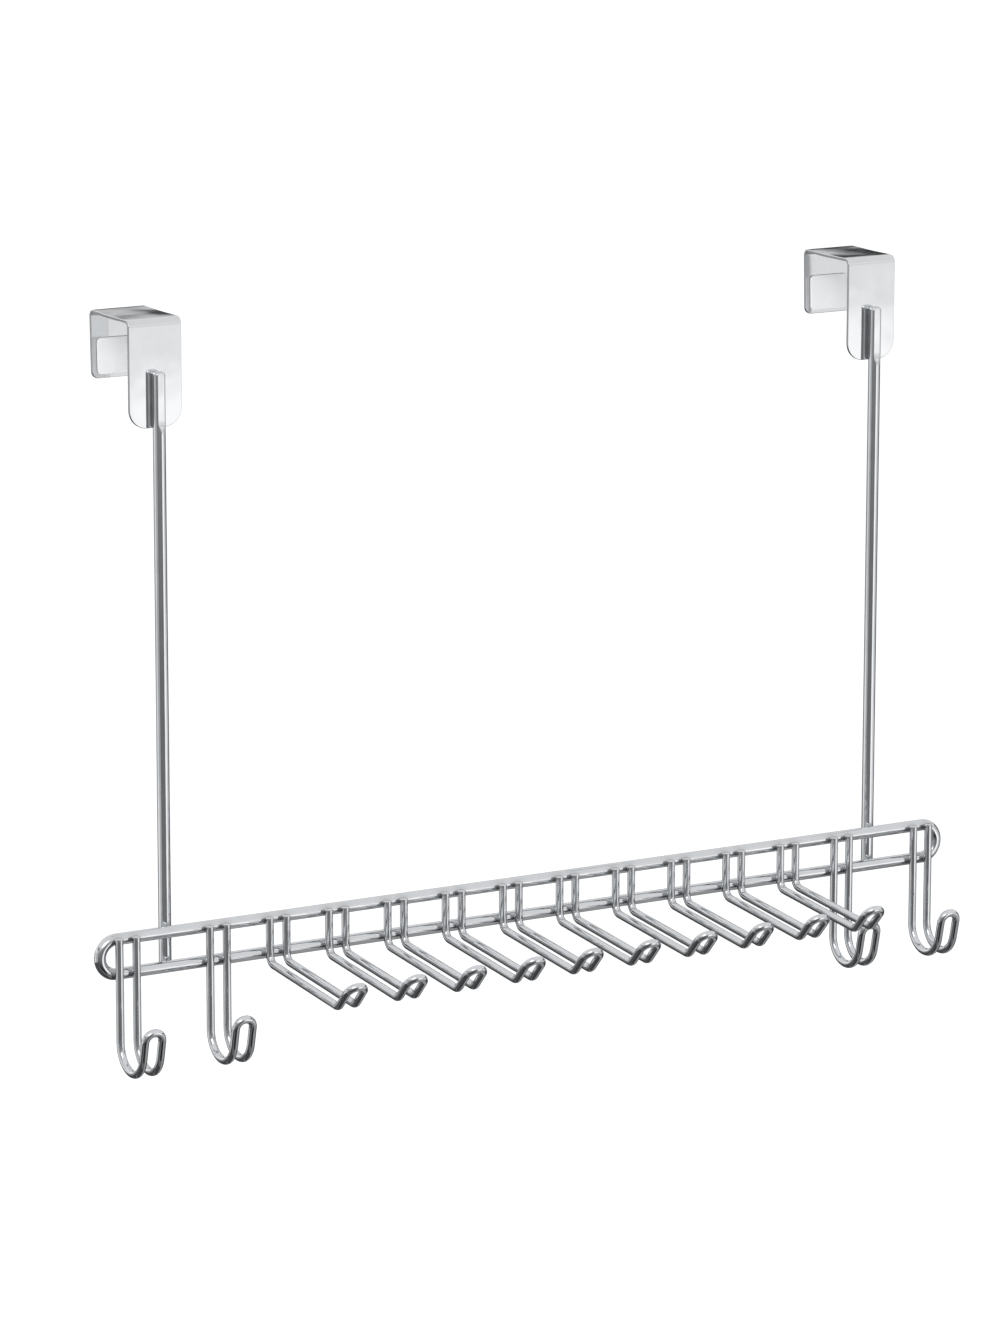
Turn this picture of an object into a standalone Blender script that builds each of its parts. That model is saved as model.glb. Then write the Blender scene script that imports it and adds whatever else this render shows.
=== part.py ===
"""Over-the-door rack of chrome-plated steel wire, with four coat hooks and ten hanger arms.

Units are metres and +Z is up. The origin is where the rack hangs: midway between its two
door brackets, at the middle of the gap for the door, on the door's top edge. The rack's
front, with the hooks, faces -Y.
"""
import math

import bmesh
import bpy
from mathutils import Vector

# Rail loop, one wire bent to a long ring with round ends
RAIL_DIAMETER = 0.0056
RAIL_SPACING = 0.0166       # between the centre lines of the upper and the lower run
RAIL_DROP = 0.294           # from the door's top edge to the middle of the loop
RAIL_END_INSET = 0.0148     # from the middle of an outer coat hook to the loop's end

# Hanger rods, which carry the loop below the brackets
ROD_DIAMETER = 0.006
ROD_STEP = 0.0223           # from the middle of an inner coat hook to the rod
ROD_LAP = 0.0265            # length that is welded to the bracket's front leg
ROD_TAIL = 0.002            # length below the centre line of the loop's lower run
ROD_END_ROUND = 0.0012

# Door brackets, bent from flat strip
STRIP_WIDTH = 0.027
STRIP_THICKNESS = 0.0015
STRIP_BEND_RADIUS = 0.0018  # inside each bend
DOOR_GAP = 0.038            # between the two legs, at the door's top edge
FRONT_LEG_DROP = 0.049      # from the door's top edge to the front leg's end
BACK_LEG_DROP = 0.031
BACK_LEG_LEAN = math.radians(2.0)
FRONT_CORNER_RADIUS = 0.009
BACK_CORNER_RADIUS = 0.0035

# Foam pads on the faces of the legs that meet the door
PAD_THICKNESS = 0.0008
PAD_WIDTH = 0.022
PAD_CORNER_RADIUS = 0.002
FRONT_PAD_HEIGHT = 0.026
FRONT_PAD_MARGIN = 0.007    # from the leg's end to the pad
BACK_PAD_HEIGHT = 0.017
BACK_PAD_MARGIN = 0.002

# Hook wire: each hook and arm is one wire, folded double like a hairpin
HOOK_WIRE_DIAMETER = 0.0038
HOOK_WIRE_SPACING = 0.0088  # between the centre lines of a hairpin's two legs
HOOK_WIRE_HEAD = 0.0015     # length above the centre line of the loop's upper run

# Coat hooks, an inner and an outer one at each end of the loop
OUTER_HOOK_STEP = 0.047     # from the middle of an inner coat hook to the outer one
COAT_HOOK_DROP = 0.0438     # from the loop's lower run to the hook's lowest centre line
COAT_HOOK_RADIUS = 0.012
COAT_HOOK_TIP_RISE = 0.0226
COAT_HOOK_TIP_LEAN = math.radians(13.0)

# Hanger arms, between the coat hooks
ARM_COUNT = 10
ARM_PITCH = 0.0315          # between arms, and from the last arm to the inner coat hook
ARM_NECK = 0.0039           # from the loop's lower run down to the arm's bend
ARM_NECK_RADIUS = 0.0045
ARM_REACH = 0.068
ARM_FALL = 0.005
ARM_ELBOW_RADIUS = 0.005
ARM_TIP_REACH = 0.0108
ARM_TIP_RISE = 0.0115

# Clearances, and how finely round shapes are divided
WELD_GAP = 0.0003           # between pieces that are welded or glued together
SAME_POINT = 0.000001
ARC_STEP = math.radians(18.0)
RAIL_BEVEL_RESOLUTION = 4
HOOK_BEVEL_RESOLUTION = 2
ROD_SIDES = 16
ROUND_SEGMENTS = 2
SHARP_ANGLE = math.radians(40.0)

# Finishes: colour, roughness and metallic value
CHROME = ((0.78, 0.79, 0.80, 1.0), 0.08, 1.0)
GREY_FOAM = ((0.62, 0.63, 0.64, 1.0), 0.85, 0.0)

# Places that follow from the sizes
INNER_HOOK_X = ARM_PITCH * (ARM_COUNT + 1) / 2
OUTER_HOOK_X = INNER_HOOK_X + OUTER_HOOK_STEP
ROD_X = INNER_HOOK_X + ROD_STEP
LOOP_END_X = OUTER_HOOK_X + RAIL_END_INSET
FRONT_LEG_Y = -(DOOR_GAP + STRIP_THICKNESS) / 2
BACK_LEG_Y = -FRONT_LEG_Y
ROD_Y = FRONT_LEG_Y - STRIP_THICKNESS / 2 - WELD_GAP - ROD_DIAMETER / 2
RAIL_Y = ROD_Y - ROD_DIAMETER / 2 - WELD_GAP - RAIL_DIAMETER / 2
HOOK_WIRE_Y = RAIL_Y - RAIL_DIAMETER / 2 - WELD_GAP - HOOK_WIRE_DIAMETER / 2
UPPER_RUN_Z = -RAIL_DROP + RAIL_SPACING / 2
LOWER_RUN_Z = -RAIL_DROP - RAIL_SPACING / 2
ROD_TOP_Z = -FRONT_LEG_DROP + ROD_LAP
ROD_BOTTOM_Z = LOWER_RUN_Z - ROD_TAIL


def clear_scene():
    """Removes every object, so that the model starts in an empty scene."""
    for old in list(bpy.data.objects):
        bpy.data.objects.remove(old, do_unlink=True)


def make_collection(name):
    """Returns a new collection, linked to the scene."""
    collection = bpy.data.collections.new(name)
    bpy.context.scene.collection.children.link(collection)
    return collection


def make_finish(name, finish):
    """Returns a Principled material of the finish's colour, roughness and metallic value."""
    colour, roughness, metallic = finish
    material = bpy.data.materials.new(name)
    material.use_nodes = True
    shader = material.node_tree.nodes["Principled BSDF"]
    shader.inputs["Base Color"].default_value = colour
    shader.inputs["Roughness"].default_value = roughness
    shader.inputs["Metallic"].default_value = metallic
    material.diffuse_color = colour
    return material


def add_piece(collection, name, data, finish):
    """Adds one piece to the collection, with a material of its own."""
    data.materials.append(make_finish(name + "_finish", finish))
    piece = bpy.data.objects.new(name, data)
    collection.objects.link(piece)
    return piece


def rounded_corner(before, corner, after, radius):
    """Returns the points of the arc that rounds a corner between two straight runs."""
    run_in = corner - before
    run_out = after - corner
    turn = run_in.angle(run_out)
    if radius <= SAME_POINT or turn < SAME_POINT:
        return [corner]
    along = run_in.normalized()
    shortest_run = min(run_in.length, run_out.length)
    tangent = min(radius * math.tan(turn / 2), shortest_run)
    radius = tangent / math.tan(turn / 2)
    inward = (run_out - along * run_out.dot(along)).normalized()
    start = corner - along * tangent
    centre = start + inward * radius
    steps = math.ceil(turn / ARC_STEP)
    points = []
    for step in range(steps + 1):
        angle = turn * step / steps
        points.append(centre + (along * math.sin(angle) - inward * math.cos(angle)) * radius)
    return points


def rounded_path(corners, radii, closed=False):
    """Returns the points of a path through the corners, each rounded to its radius."""
    corners = [Vector(corner) for corner in corners]
    last = len(corners) - 1
    points = []
    for index, corner in enumerate(corners):
        if not closed and index in (0, last):
            arc = [corner]
        else:
            arc = rounded_corner(corners[index - 1], corner, corners[(index + 1) % (last + 1)], radii[index])
        for point in arc:
            if not points or (point - points[-1]).length > SAME_POINT:
                points.append(point)
    if closed and (points[0] - points[-1]).length <= SAME_POINT:
        points.pop()
    return points


def add_spline(curve, points, closed):
    """Adds the points to the curve as one spline of straight segments."""
    spline = curve.splines.new("POLY")
    spline.points.add(len(points) - 1)
    for spline_point, point in zip(spline.points, points):
        spline_point.co = (*point, 1.0)
    spline.use_cyclic_u = closed
    spline.use_smooth = True


def make_wire(collection, name, points, diameter, resolution, closed=False):
    """Adds a round wire that follows the points."""
    curve = bpy.data.curves.new(name, "CURVE")
    curve.dimensions = "3D"
    curve.bevel_depth = diameter / 2
    curve.bevel_resolution = resolution
    curve.use_fill_caps = not closed
    add_spline(curve, points, closed)
    return add_piece(collection, name, curve, CHROME)


def make_rail_loop(collection):
    """Adds the loop that every hook and arm is welded to."""
    round_end = RAIL_SPACING / 2
    end_x = LOOP_END_X - RAIL_DIAMETER / 2
    corners = [
        (-end_x, RAIL_Y, LOWER_RUN_Z),
        (end_x, RAIL_Y, LOWER_RUN_Z),
        (end_x, RAIL_Y, UPPER_RUN_Z),
        (-end_x, RAIL_Y, UPPER_RUN_Z),
    ]
    points = rounded_path(corners, [round_end] * len(corners), closed=True)
    make_wire(collection, "rail_loop", points, RAIL_DIAMETER, RAIL_BEVEL_RESOLUTION, closed=True)


def make_hanger_rod(collection, name, x):
    """Adds a straight rod from the bracket's front leg down to the loop's lower run."""
    mesh = bpy.data.meshes.new(name)
    shape = bmesh.new()
    radius = ROD_DIAMETER / 2
    length = ROD_TOP_Z - ROD_BOTTOM_Z
    bmesh.ops.create_cone(
        shape, cap_ends=True, segments=ROD_SIDES, radius1=radius, radius2=radius, depth=length
    )
    middle = Vector((x, ROD_Y, (ROD_TOP_Z + ROD_BOTTOM_Z) / 2))
    bmesh.ops.translate(shape, verts=shape.verts, vec=middle)
    shape.to_mesh(mesh)
    shape.free()
    mesh.shade_smooth()
    mesh.set_sharp_from_angle(angle=SHARP_ANGLE)
    rod = add_piece(collection, name, mesh, CHROME)
    rounding = rod.modifiers.new("rounded ends", "BEVEL")
    rounding.width = ROD_END_ROUND
    rounding.segments = ROUND_SEGMENTS
    rounding.limit_method = "ANGLE"
    rounding.angle_limit = SHARP_ANGLE


def bracket_path():
    """Returns the bracket's middle surface from the side, from the front leg's end to the back leg's."""
    top_z = STRIP_THICKNESS / 2
    back_end = BACK_LEG_Y - (BACK_LEG_DROP + top_z) * math.tan(BACK_LEG_LEAN)
    corners = [
        (0, FRONT_LEG_Y, -FRONT_LEG_DROP),
        (0, FRONT_LEG_Y, top_z),
        (0, BACK_LEG_Y, top_z),
        (0, back_end, -BACK_LEG_DROP),
    ]
    bend = STRIP_BEND_RADIUS + STRIP_THICKNESS / 2
    return rounded_path(corners, [0, bend, bend, 0])


def running_lengths(points):
    """Returns each point's distance along the path."""
    lengths = [0.0]
    for start, end in zip(points, points[1:]):
        lengths.append(lengths[-1] + (end - start).length)
    return lengths


def point_at(points, lengths, distance):
    """Returns the point at a distance along the path."""
    for index in range(1, len(points)):
        if distance <= lengths[index] or index == len(points) - 1:
            run = lengths[index] - lengths[index - 1]
            return points[index - 1].lerp(points[index], (distance - lengths[index - 1]) / run)


def make_door_bracket(collection, name, x):
    """Adds a bracket: a flat blank with round corners, folded over the door and given its thickness."""
    path = bracket_path()
    lengths = running_lengths(path)
    side = STRIP_WIDTH / 2
    blank_corners = [(-side, 0, 0), (side, 0, 0), (side, lengths[-1], 0), (-side, lengths[-1], 0)]
    corner_radii = [FRONT_CORNER_RADIUS, FRONT_CORNER_RADIUS, BACK_CORNER_RADIUS, BACK_CORNER_RADIUS]
    blank = bmesh.new()
    outline = [blank.verts.new(point) for point in rounded_path(blank_corners, corner_radii, closed=True)]
    blank.faces.new(outline)
    for distance in lengths[1:-1]:
        everything = blank.verts[:] + blank.edges[:] + blank.faces[:]
        bmesh.ops.bisect_plane(
            blank, geom=everything, dist=SAME_POINT, plane_co=(0, distance, 0), plane_no=(0, 1, 0)
        )
    for vertex in blank.verts:
        folded = point_at(path, lengths, vertex.co.y)
        vertex.co = Vector((x + vertex.co.x, folded.y, folded.z))
    mesh = bpy.data.meshes.new(name)
    blank.to_mesh(mesh)
    blank.free()
    mesh.shade_smooth()
    mesh.set_sharp_from_angle(angle=SHARP_ANGLE)
    bracket = add_piece(collection, name, mesh, CHROME)
    wall = bracket.modifiers.new("strip thickness", "SOLIDIFY")
    wall.thickness = STRIP_THICKNESS
    wall.offset = 0
    wall.use_even_offset = True


def make_pad(collection, name, height, centre, lean):
    """Adds a thin foam pad with round corners, standing on edge and leaning with its leg."""
    curve = bpy.data.curves.new(name, "CURVE")
    curve.dimensions = "2D"
    curve.fill_mode = "BOTH"
    curve.extrude = PAD_THICKNESS / 2
    side = PAD_WIDTH / 2
    end = height / 2
    corners = [(-side, -end, 0), (side, -end, 0), (side, end, 0), (-side, end, 0)]
    add_spline(curve, rounded_path(corners, [PAD_CORNER_RADIUS] * len(corners), closed=True), True)
    pad = add_piece(collection, name, curve, GREY_FOAM)
    pad.location = centre
    pad.rotation_euler = (math.pi / 2 - lean, 0, 0)


def make_front_pad(collection, name, x):
    """Adds the pad on the front leg's face that meets the door."""
    offset = STRIP_THICKNESS / 2 + WELD_GAP + PAD_THICKNESS / 2
    height = -FRONT_LEG_DROP + FRONT_PAD_MARGIN + FRONT_PAD_HEIGHT / 2
    make_pad(collection, name, FRONT_PAD_HEIGHT, (x, FRONT_LEG_Y + offset, height), 0)


def make_back_pad(collection, name, x):
    """Adds the pad on the leaning back leg's face that meets the door."""
    offset = STRIP_THICKNESS / 2 + WELD_GAP + PAD_THICKNESS / 2
    leg_end = bracket_path()[-1]
    up_leg = Vector((0, math.sin(BACK_LEG_LEAN), math.cos(BACK_LEG_LEAN)))
    to_door = Vector((0, -math.cos(BACK_LEG_LEAN), math.sin(BACK_LEG_LEAN)))
    centre = leg_end + up_leg * (BACK_PAD_MARGIN + BACK_PAD_HEIGHT / 2) + to_door * offset
    make_pad(collection, name, BACK_PAD_HEIGHT, (x, centre.y, centre.z), BACK_LEG_LEAN)


def make_hairpin(collection, name, x, side_profile, side_radii):
    """Adds a wire folded double: one leg follows the side profile to the tip, the other comes back."""
    side = HOOK_WIRE_SPACING / 2
    one_leg = [(x - side, y, z) for y, z in side_profile]
    other_leg = [(x + side, y, z) for y, z in reversed(side_profile)]
    radii = side_radii + [side, side] + side_radii[::-1]
    points = rounded_path(one_leg + other_leg, radii)
    make_wire(collection, name, points, HOOK_WIRE_DIAMETER, HOOK_BEVEL_RESOLUTION)


def make_coat_hook(collection, name, x):
    """Adds a deep hook: long shanks, a round bottom and a tip that leans out a little."""
    bottom_z = LOWER_RUN_Z - COAT_HOOK_DROP
    outer_turn = math.pi / 2 - COAT_HOOK_TIP_LEAN
    rise_y = HOOK_WIRE_Y - COAT_HOOK_RADIUS * (1 + math.tan(outer_turn / 2))
    tip_y = rise_y - COAT_HOOK_TIP_RISE * math.tan(COAT_HOOK_TIP_LEAN)
    profile = [
        (HOOK_WIRE_Y, UPPER_RUN_Z + HOOK_WIRE_HEAD),
        (HOOK_WIRE_Y, bottom_z),
        (rise_y, bottom_z),
        (tip_y, bottom_z + COAT_HOOK_TIP_RISE),
    ]
    make_hairpin(collection, name, x, profile, [0, COAT_HOOK_RADIUS, COAT_HOOK_RADIUS])


def make_hanger_arm(collection, name, x):
    """Adds a long arm: bent forward under the loop, falling a little, with its tip turned up."""
    neck_z = LOWER_RUN_Z - ARM_NECK
    elbow_y = HOOK_WIRE_Y - ARM_REACH
    elbow_z = neck_z - ARM_FALL
    profile = [
        (HOOK_WIRE_Y, UPPER_RUN_Z + HOOK_WIRE_HEAD),
        (HOOK_WIRE_Y, neck_z),
        (elbow_y, elbow_z),
        (elbow_y - ARM_TIP_REACH, elbow_z + ARM_TIP_RISE),
    ]
    make_hairpin(collection, name, x, profile, [0, ARM_NECK_RADIUS, ARM_ELBOW_RADIUS])


def main():
    """Builds the whole rack."""
    clear_scene()
    rack = make_collection("over_door_hook_rack")
    make_rail_loop(rack)
    for side, x in (("left", -ROD_X), ("right", ROD_X)):
        make_door_bracket(rack, "door_bracket_" + side, x)
        make_hanger_rod(rack, "hanger_rod_" + side, x)
        make_front_pad(rack, "front_pad_" + side, x)
        make_back_pad(rack, "back_pad_" + side, x)
    for number, x in enumerate((-OUTER_HOOK_X, -INNER_HOOK_X, INNER_HOOK_X, OUTER_HOOK_X), start=1):
        make_coat_hook(rack, f"coat_hook_{number}", x)
    for index in range(ARM_COUNT):
        make_hanger_arm(rack, f"hanger_arm_{index + 1:02d}", ARM_PITCH * (index + 1) - INNER_HOOK_X)


main()
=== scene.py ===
"""Looks of an over-the-door hook rack in bright chrome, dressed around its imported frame.

Everything is in metres and in the frame's own place: the door's top edge is at the origin, +X
runs along the rail, +Y goes through the door to its back and the hooks face -Y.
"""
import logging
import math
from dataclasses import dataclass
from enum import Enum
from typing import Any, Iterable

import bmesh
import bpy
from bmesh.types import BMEdge, BMesh, BMVert
from bpy.types import Material, NodeSocket, NodeTree, Object
from mathutils import Matrix, Vector


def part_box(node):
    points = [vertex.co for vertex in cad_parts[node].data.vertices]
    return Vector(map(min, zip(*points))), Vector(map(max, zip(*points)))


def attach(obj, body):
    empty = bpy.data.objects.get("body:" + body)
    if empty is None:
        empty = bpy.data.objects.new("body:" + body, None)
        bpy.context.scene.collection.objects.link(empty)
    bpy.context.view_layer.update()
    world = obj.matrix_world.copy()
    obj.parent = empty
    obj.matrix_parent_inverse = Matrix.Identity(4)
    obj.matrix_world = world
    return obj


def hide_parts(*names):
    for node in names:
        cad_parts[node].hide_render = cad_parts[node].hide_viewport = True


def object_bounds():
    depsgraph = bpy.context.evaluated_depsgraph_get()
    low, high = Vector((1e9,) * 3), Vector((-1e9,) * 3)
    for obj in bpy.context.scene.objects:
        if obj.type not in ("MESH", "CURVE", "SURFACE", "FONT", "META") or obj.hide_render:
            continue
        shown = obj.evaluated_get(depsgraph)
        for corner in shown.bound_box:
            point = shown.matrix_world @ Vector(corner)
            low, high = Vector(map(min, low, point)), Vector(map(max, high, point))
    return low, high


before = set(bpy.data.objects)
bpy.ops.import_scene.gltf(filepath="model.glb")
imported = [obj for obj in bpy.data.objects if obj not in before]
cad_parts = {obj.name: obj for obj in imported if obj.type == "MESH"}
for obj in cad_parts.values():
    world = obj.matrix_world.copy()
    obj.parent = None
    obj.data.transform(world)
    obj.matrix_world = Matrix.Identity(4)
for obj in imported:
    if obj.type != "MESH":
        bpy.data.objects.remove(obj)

CAD_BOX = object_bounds()
LOG = logging.getLogger("hook_rack")

MM = 0.001
SAME_POINT = 0.001 * MM
SEAM_GAP = 10 * SAME_POINT
SHARP_EDGE = math.radians(50.0)
X_AXIS = Vector((1.0, 0.0, 0.0))
Y_AXIS = Vector((0.0, 1.0, 0.0))
DOWN = Vector((0.0, 0.0, -1.0))
FORWARD_TURN = Vector((-1.0, 0.0, 0.0))
UPWARD_TURN = Vector((0.0, -1.0, 0.0))

WIRE_SPACE = "wire_space"
WELD_SHADE = "weld_shade"
WHITE = "ffffff"

# A Mix node's sockets go by number, since those for numbers and for colours share their names.
MIX_FACTOR = 0
NUMBER_A, NUMBER_B, NUMBER = 2, 3, 0
COLOUR_A, COLOUR_B, COLOUR = 6, 7, 2

# A wire's runs and, as angle and radius, the bends between them.
WirePath = tuple[list[float], list[tuple[float, float]]]


class Slot(Enum):
    """The record's material slots."""

    WIRE = "chrome_wire"
    STRIP = "chrome_strip"
    FOAM = "foam_pad"


class Side(Enum):
    """Which half of the rack a piece belongs to, as the nodes spell it."""

    LEFT = "left"
    RIGHT = "right"


class Leg(Enum):
    """Which leg of its bracket a pad is stuck to, as the nodes spell it."""

    FRONT = "front"
    BACK = "back"


def node_centre(node: str) -> Vector:
    """Returns the middle of a CAD node's box."""
    low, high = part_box(node)
    return (Vector(low) + Vector(high)) / 2


def linear_colour(hex_code: str) -> tuple[float, float, float, float]:
    """Turns an sRGB hex code into the linear colour that the shaders read.

    Args:
        hex_code: six hex digits, such as "c8cacc".

    Returns:
        Linear red, green and blue, with an alpha of 1.
    """
    channels = [int(hex_code[start:start + 2], 16) / 255 for start in (0, 2, 4)]
    linear = [c / 12.92 if c <= 0.04045 else ((c + 0.055) / 1.055) ** 2.4 for c in channels]
    return (*linear, 1.0)


def add_node(
    tree: NodeTree, kind: str, inputs: dict[Any, Any] | None = None, output: Any = 0,
    **settings: Any,
) -> NodeSocket:
    """Adds a node with its settings, values and links.

    Args:
        tree: the node tree that gets the node.
        kind: the node's class name after ShaderNode.
        inputs: values of input sockets, or the sockets that feed them, by name or number; a
            text is an sRGB hex colour.
        output: the output that is wanted, by name or number.
        settings: the node's own properties.

    Returns:
        The wanted output socket.
    """
    node = tree.nodes.new(f"ShaderNode{kind}")
    for name, value in settings.items():
        setattr(node, name, value)
    for name, value in (inputs or {}).items():
        if isinstance(value, NodeSocket):
            tree.links.new(value, node.inputs[name])
        elif isinstance(value, str):
            node.inputs[name].default_value = linear_colour(value)
        else:
            node.inputs[name].default_value = value
    return node.outputs[output]


def show_white(tree: NodeTree, plain: NodeSocket, white: NodeSocket) -> NodeSocket:
    """Shows white to the camera, in gloss and through glass, and plain to all other light.

    Args:
        tree: the tree of the floor or the world.
        plain: the shader that lights the object.
        white: the shader that is shown as white.

    Returns:
        The mixed shader.
    """
    seen = add_node(tree, "LightPath", output="Is Camera Ray")
    for ray in ("Is Glossy Ray", "Is Transmission Ray"):
        also = add_node(tree, "LightPath", output=ray)
        seen = add_node(tree, "Math", {0: seen, 1: also}, operation="MAXIMUM")
    return add_node(tree, "MixShader", {0: seen, 1: plain, 2: white})


def add_mesh(name: str, shape: BMesh, material: Material) -> Object:
    """Adds a mesh to the scene as an object at the origin.

    Args:
        name: the object's name.
        shape: the mesh, which is freed.
        material: what it wears.

    Returns:
        The new object.
    """
    mesh = bpy.data.meshes.new(name)
    shape.to_mesh(mesh)
    shape.free()
    mesh.materials.append(material)
    made = bpy.data.objects.new(name, mesh)
    bpy.context.scene.collection.objects.link(made)
    return made


def rectangle(shape: BMesh, width: float, length: float, place: Matrix) -> list[BMVert]:
    """Adds a flat rectangle at a place and returns its four corners."""
    matrix = place @ Matrix.Diagonal((width, length, 1.0, 1.0))
    return bmesh.ops.create_grid(shape, x_segments=1, y_segments=1, size=0.5, matrix=matrix)["verts"]


def round_corners(shape: BMesh, corners: list[BMVert], radius: float, steps: int) -> None:
    """Rounds corners of a flat sheet."""
    bmesh.ops.bevel(
        shape, geom=corners, offset=radius, offset_type="OFFSET", profile=0.5, segments=steps,
        affect="VERTICES", material=-1,
    )


def shade_welds(shape: BMesh, welds: list[Vector], reach: float) -> None:
    """Marks how near each vertex is to a weld, for the dull bloom round it.

    Args:
        shape: the mesh to mark.
        welds: the welds' middles.
        reach: distance at which the bloom has mostly faded.
    """
    layer = shape.verts.layers.float.new(WELD_SHADE)
    for vertex in shape.verts:
        distance = min((vertex.co - weld).length for weld in welds)
        vertex[layer] = math.exp(-(distance / reach) ** 2)


@dataclass(frozen=True)
class Surface:
    """Anything that has a node material of its own."""

    name: str

    def shader(self, tree: NodeTree) -> NodeSocket:
        """Lays out the nodes in an empty tree and returns their shader's output."""
        raise NotImplementedError

    def material(self) -> Material:
        """Makes the node material.

        Returns:
            The material, which has the surface's name.
        """
        material = bpy.data.materials.new(self.name)
        material.use_nodes = True
        tree = material.node_tree
        tree.nodes.clear()
        output = tree.nodes.new("ShaderNodeOutputMaterial")
        tree.links.new(self.shader(tree), output.inputs["Surface"])
        return material


@dataclass(frozen=True)
class Finish(Surface):
    """A finish of the rack, with the record's slot that it goes by."""

    slot: Slot


@dataclass(frozen=True)
class ChromePlate(Finish):
    """Bright nickel-chrome plate over drawn or rolled steel.

    The rack is welded first and plated whole, so the welds shine too. A thin hard mirror, almost
    neutral with a trace of blue, hazier round the welds, where the steel under the plate was
    scorched and pickled rough. The steel's drawing or rolling lines, really about 0.02 mm wide,
    show through as a fine lengthwise ripple and are drawn coarser here so that they show at all.
    """

    bright: str = "e2e3e5"
    deep: str = "d5d7d9"
    hazy: str = "c6c7c8"
    roughness_low: float = 0.045
    roughness_high: float = 0.10
    weld_roughness: float = 0.24
    cloud_mm: float = 9.0
    cloud_octaves: float = 4.0
    cloud_fineness: float = 0.6
    cloud_span: tuple[float, float] = (0.3, 0.7)
    line_width_mm: float = 0.35
    line_length_mm: float = 14.0
    line_bump: float = 0.012
    line_depth_mm: float = 0.05
    ripple_mm: float = 16.0
    ripple_octaves: float = 1.0
    ripple_bump: float = 0.012

    def shader(self, tree: NodeTree) -> NodeSocket:
        """Lays out the plate's nodes.

        Args:
            tree: the material's empty tree.

        Returns:
            The shader's output.
        """
        place = add_node(tree, "TexCoord", output="Object")
        wire = add_node(tree, "Attribute", output="Vector", attribute_name=WIRE_SPACE)
        weld = add_node(tree, "Attribute", output="Fac", attribute_name=WELD_SHADE)
        clouds = add_node(tree, "TexNoise", {
            "Vector": place, "Scale": 1 / (self.cloud_mm * MM), "Detail": self.cloud_octaves,
            "Roughness": self.cloud_fineness,
        })
        tint = add_node(tree, "Mix", {
            MIX_FACTOR: clouds, COLOUR_A: self.deep, COLOUR_B: self.bright,
        }, COLOUR, data_type="RGBA")
        colour = add_node(tree, "Mix", {
            MIX_FACTOR: weld, COLOUR_A: tint, COLOUR_B: self.hazy,
        }, COLOUR, data_type="RGBA")
        polish = add_node(tree, "MapRange", {
            "Value": clouds, "From Min": self.cloud_span[0], "From Max": self.cloud_span[1],
            "To Min": self.roughness_low, "To Max": self.roughness_high,
        })
        roughness = add_node(tree, "Mix", {
            MIX_FACTOR: weld, NUMBER_A: polish, NUMBER_B: self.weld_roughness,
        }, NUMBER, data_type="FLOAT")
        across, along = 1 / (self.line_width_mm * MM), 1 / (self.line_length_mm * MM)
        stretched = add_node(tree, "Mapping", {"Vector": wire, "Scale": (across, across, along)})
        lines = add_node(tree, "TexNoise", {"Vector": stretched, "Scale": 1.0})
        ripple = add_node(tree, "TexNoise", {
            "Vector": place, "Scale": 1 / (self.ripple_mm * MM), "Detail": self.ripple_octaves,
        })
        soft = add_node(tree, "Bump", {
            "Height": ripple, "Strength": self.ripple_bump, "Distance": self.ripple_mm * MM,
        })
        fine = add_node(tree, "Bump", {
            "Height": lines, "Strength": self.line_bump, "Distance": self.line_depth_mm * MM,
            "Normal": soft,
        })
        return add_node(tree, "BsdfPrincipled", {
            "Base Color": colour, "Metallic": 1.0, "Roughness": roughness, "Normal": fine,
        })


@dataclass(frozen=True)
class ClosedCellFoam(Finish):
    """Very pale grey cross-linked foam sheet, die cut: dull and chalky.

    Its closed cells, really about 0.3 mm wide, are drawn a little coarser so that they show.
    """

    name: str = "closed_cell_foam"
    slot: Slot = Slot.FOAM
    pale: str = "fafafb"
    dark: str = "eaebec"
    cell_mm: float = 0.55
    cell_bump: float = 0.5
    cell_depth_mm: float = 0.12
    patch_mm: float = 6.0
    patch_octaves: float = 5.0
    roughness: float = 0.9
    ior: float = 1.49

    def shader(self, tree: NodeTree) -> NodeSocket:
        """Lays out the foam's nodes.

        Args:
            tree: the material's empty tree.

        Returns:
            The shader's output.
        """
        place = add_node(tree, "TexCoord", output="Object")
        cells = add_node(tree, "TexVoronoi", {"Vector": place, "Scale": 1 / (self.cell_mm * MM)})
        patches = add_node(tree, "TexNoise", {
            "Vector": place, "Scale": 1 / (self.patch_mm * MM), "Detail": self.patch_octaves,
        })
        speckle = add_node(tree, "Math", {0: cells, 1: patches}, operation="MULTIPLY")
        colour = add_node(tree, "Mix", {
            MIX_FACTOR: speckle, COLOUR_A: self.pale, COLOUR_B: self.dark,
        }, COLOUR, data_type="RGBA")
        bump = add_node(tree, "Bump", {
            "Height": cells, "Strength": self.cell_bump, "Distance": self.cell_depth_mm * MM,
        })
        return add_node(tree, "BsdfPrincipled", {
            "Base Color": colour, "Roughness": self.roughness, "IOR": self.ior, "Normal": bump,
        })


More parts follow.
